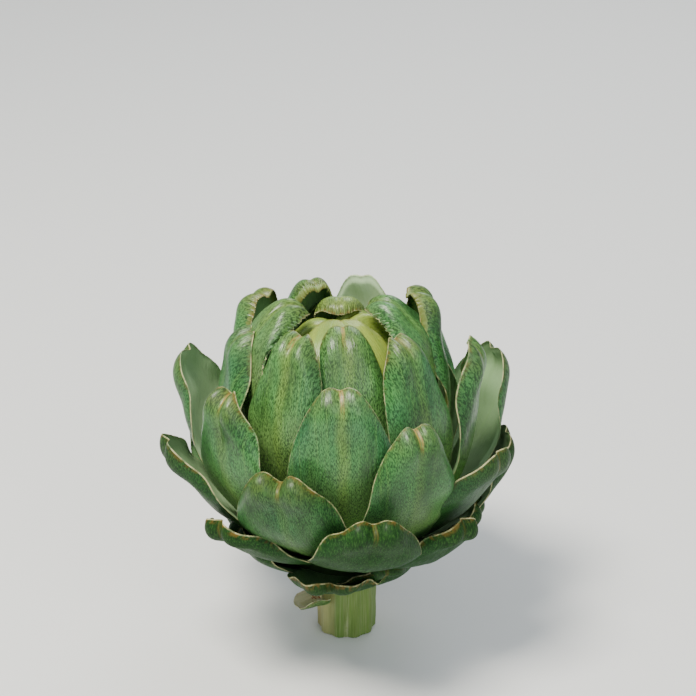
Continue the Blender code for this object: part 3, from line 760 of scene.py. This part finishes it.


# Living flesh, matt and dark green: painted shade, so that the gaps between bracts read as deep
core_finish, core_tree, core_shader = finish("receptacle flesh, living and matt, painted dark as shade", Roughness=0.6)
core_place = add(core_tree, "TexCoord").outputs["Object"]
core_noise = add(core_tree, "TexNoise", {"Vector": core_place, "Scale": 300.0}).outputs["Fac"]
core_mix = add(core_tree, "Mix", {0: core_noise, 6: colour("#2c4422"), 7: colour("#4d6a36")}, data_type="RGBA")
core_tree.links.new(core_mix.outputs[2], core_shader.inputs["Base Color"])
core_line = resampled(CORE_PROFILE, CORE_RINGS)
core_line[:, 0] = np.maximum(core_line[:, 0], POLE)
core_angle = np.linspace(0.0, 2 * math.pi, CORE_SIDES, endpoint=False)
core_points = np.stack((core_line[:, 0, None] * np.cos(core_angle) + LEAN * core_line[:, 1, None],
                        core_line[:, 0, None] * np.sin(core_angle),
                        np.repeat(core_line[:, 1, None] + HEAD_BASE, CORE_SIDES, axis=1)), axis=-1)

core = mesh_object("receptacle", core_points * MM, capped(CORE_RINGS, CORE_SIDES), core_finish)
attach(core, "root")
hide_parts("head")
print("receptacle faces:", len(core.data.polygons))


# %% [markdown]
# ## Stem
#
# The stem is as thick as a thumb, with ten soft ribs of strong fibres under a thin rind, and it was
# cut square. It is a turned profile whose radius also depends on the angle: a cosine for the ribs
# and slow waves for its growth. The cut end is a ring of fibres round a pale pith that has dried
# back a little.

# %% Make the stem
STEM_LENGTH = 30.0
STEM_RADIUS = 11.8
STEM_RIBS = 10
RIB_HEIGHT = 0.5
LINE_DEPTH = 0.22
STEM_SIDES = 240
STEM_RINGS = 150
STEM_PROFILE = np.array(((0.0, 0.35), (6.2, 0.35), (7.4, 0.0), (11.0, 0.0), (11.55, 0.25), (STEM_RADIUS, 0.8),
                         (STEM_RADIUS, 19.0), (12.05, 25.0), (12.6, STEM_LENGTH), (6.0, STEM_LENGTH),
                         (0.0, STEM_LENGTH)))

stem_line = resampled(STEM_PROFILE, STEM_RINGS)
stem_line[:, 0] = np.maximum(stem_line[:, 0], POLE)
stem_angle = np.linspace(0.0, 2 * math.pi, STEM_SIDES, endpoint=False)[None, :]
stem_radius = stem_line[:, 0, None]
stem_height = stem_line[:, 1, None] + 0 * stem_angle
stem_rng = np.random.default_rng(5)
stem_skin_share = smoothstep((stem_radius - 8.0) / 3.0)
fine_lines = LINE_DEPTH * np.abs(np.cos(2.5 * STEM_RIBS * stem_angle + 0.6))
ribs = RIB_HEIGHT * np.cos(STEM_RIBS * stem_angle) - fine_lines
slow = 0.25 * ripples(stem_rng, stem_angle * STEM_RADIUS + 0 * stem_height, stem_height, 5, 12.0, 40.0)
stem_grown = stem_radius + (ribs + slow - 0.15) * stem_skin_share
stem_points = np.stack((stem_grown * np.cos(stem_angle), stem_grown * np.sin(stem_angle), stem_height), axis=-1)


GREEN_SHADED_SIDE = math.radians(35.0)


def rind():
    """Stem rind in lengthwise bands, greener and darker to the front right and tan on the left, partly its own
    colour and partly painted shade and painted light, and the cut: a ring of fibres round pale pith.
    """
    material, tree, shader = finish("living stem rind over a cut of fibres and pith", IOR=1.45, Roughness=0.5)
    place = add(tree, "TexCoord").outputs["Object"]
    x, y, z = add(tree, "SeparateXYZ", {0: place}).outputs
    # The rind is greener and darker towards one side and paler and tan on the other: partly its own colour, partly
    # painted shade and painted light
    towards = (math.sin(GREEN_SHADED_SIDE), -math.cos(GREEN_SHADED_SIDE), 0.0)
    to_green_shaded_side = add(tree, "VectorMath", {0: place, 1: towards}, operation="DOT_PRODUCT").outputs["Value"]

    # Fibres: noise on the angle and the height, drawn out lengthwise about thirty times
    angle = add(tree, "Math", {0: y, 1: x}, operation="ARCTAN2").outputs[0]
    low = add(tree, "Math", {0: z, 1: 2.5}, operation="MULTIPLY").outputs[0]
    around = add(tree, "CombineXYZ", {0: angle, 1: low}).outputs[0]
    value = {}
    for key, scale in (("bands", 2.6), ("fibres", 9.0), ("threads", 34.0)):
        value[key] = add(tree, "TexNoise", {"Vector": around, "Scale": scale, "Detail": 3.0}).outputs["Fac"]
    wander = add(tree, "Math", {0: value["bands"], 1: 16.0 * MM, 2: to_green_shaded_side}, operation="MULTIPLY_ADD")
    value["wander"] = wander.outputs[0]
    base = colour("#a39864")
    for what, start, end, most, tint in (
            ("wander", 1.0 * MM, 8.0 * MM, 0.9, "#a9aa6c"), ("wander", 9.0 * MM, 15.0 * MM, 0.95, "#5c8030"),
            ("wander", 16.5 * MM, 19.0 * MM, 0.5, "#6f8a3c"), ("fibres", 0.5, 0.68, 0.22, "#b7b585"),
            ("bands", 0.55, 0.4, 0.4, "#6d7c3c"), ("threads", 0.5, 0.7, 0.16, "#c4c699"),
            ("threads", 0.45, 0.3, 0.35, "#56682c")):
        cover = add(tree, "MapRange", {"Value": value[what], "From Min": start, "From Max": end, "To Max": most},
                    interpolation_type="SMOOTHSTEP").outputs["Result"]
        base = add(tree, "Mix", {0: cover, 6: base, 7: colour(tint)}, data_type="RGBA").outputs[2]

    # Cut: fibres as fine dots in a ring, and the pith inside it
    flat = add(tree, "VectorMath", {0: place, 1: (1.0, 1.0, 0.0)}, operation="MULTIPLY").outputs[0]
    reach = add(tree, "VectorMath", {0: flat}, operation="LENGTH").outputs["Value"]
    dots = add(tree, "TexVoronoi", {"Vector": place, "Scale": 700.0}).outputs["Distance"]
    cut = colour("#a8b26a")
    for what, start, end, tint in ((dots, 0.15, 0.45, "#d3d6a8"), (reach, 8.2 * MM, 7.0 * MM, "#e9e6cd")):
        cover = add(tree, "MapRange", {"Value": what, "From Min": start, "From Max": end}).outputs[0]
        cut = add(tree, "Mix", {0: cover, 6: cut, 7: colour(tint)}, data_type="RGBA").outputs[2]
    foot = add(tree, "MapRange", {"Value": reach, "From Min": 10.9 * MM, "From Max": 10.3 * MM}).outputs[0]
    base = add(tree, "Mix", {0: foot, 6: base, 7: cut}, data_type="RGBA").outputs[2]
    tree.links.new(base, shader.inputs["Base Color"])
    bump = add(tree, "Bump", {"Height": value["fibres"], "Strength": 0.4, "Distance": 0.3 * MM})
    tree.links.new(bump.outputs["Normal"], shader.inputs["Normal"])
    return material


stem = mesh_object("stem_rind", stem_points * MM, capped(STEM_RINGS, STEM_SIDES), rind())
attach(stem, "root")
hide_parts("stem")
print("stem faces:", len(stem.data.polygons))


# %% [markdown]
# ## Leaf base
#
# A small leaf grew from the stem on its left, and only its boat-shaped base is left. It is a bract
# in small, so it uses the same formula, with a root that is hollowed to clasp the round stem.

# %% Make the leaf base
TOUCH_GAP = 0.3
CLASP = STEM_RADIUS + RIB_HEIGHT + TOUCH_GAP
LEAF_CHORD = 13.6
LEAF_COLUMNS = 60
LEAF_ROWS = 40
LEAF_TONE = 3.3
LEAF_RULE = {
    "azimuth": math.radians(-52.0), "root": np.array((CLASP, 14.5)), "tip": np.array((CLASP + 13.5, 16.0)),
    "start": 0.0, "end": math.radians(18.0), "roll": 0.0, "handle": 0.35, "tip_handle": 0.35, "tilt": 0.0,
    "half_width": 7.4, "cross_radius": 4.7, "root_width": 0.9, "lip": 0.8, "flesh": 2.0, "notch": 0.8,
    "lobe": 0.25, "hood": 20.0, "curl": 0.78, "blunt": 0.3, "torn": 0.25, "tooth": 0.7, "wavy": 0.3,
}
# Drying leaf: green outside, pale tan inside, painted paler still as painted light in its shaded hollow, with rusty
# spots where it joins the stem
LEAF_TINTS = {
    "deep": "#2f6a28", "mid": "#4a8a3c", "cool": "#3f7c48", "foot_and_painted_light": "#8fa060", "line": "#8aa866",
    "yellow": "#9a9a58", "rib": "#7d9a50", "tip": "#8a8a50", "streak": "#1c401c", "inner": "#f2e2c4",
    "sage_and_light": "#f2e8cc", "scar": "#9c4826", "singe": "#8a5f34", "dry": "#d6d2a8",
}
LEAF_LOOKS = {"dark": 0.0, "yellow": 0.2, "pale": 0.0, "gold": 0.3, "scar": 0.5, "rim": 1.0, "tanned": 0.5}
LEAF_COATS = COATS + (("scar", ("rust", "rusting", "inside")),)
leaf_skin = skin("drying leaf base, thin and matt", LEAF_TINTS, LEAF_COATS, IOR=1.45)
leaf_across, leaf_up = sheet_grid(LEAF_COLUMNS, LEAF_ROWS)
leaf_faces, leaf_sideways, leaf_lies = bract_sheet(LEAF_RULE, leaf_across, leaf_up, np.random.default_rng(77))
hollow = CLASP - np.sqrt(np.maximum(CLASP ** 2 - leaf_sideways ** 2, 0.0))
leaf_along = np.clip(1.0 - leaf_lies["from_tip"] / (LEAF_CHORD * LENGTH_PER_CHORD), 0.0, 1.0)
leaf_points = []
for face in leaf_faces:
    radius = face[..., 0] - (1.0 - leaf_along) * hollow
    leaf_points.append(turned_to(LEAF_RULE["azimuth"], radius, leaf_sideways, face[..., 1]).reshape(-1, 3) * MM)
leaf = mesh_object("leaf_base", np.concatenate(leaf_points), closed_faces(LEAF_ROWS, LEAF_COLUMNS), leaf_skin)
blade_notes(leaf.data, leaf_lies, LEAF_TONE, LEAF_LOOKS)
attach(leaf, "root")
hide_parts("stem_leaf")
print("leaf base faces:", len(leaf.data.polygons))
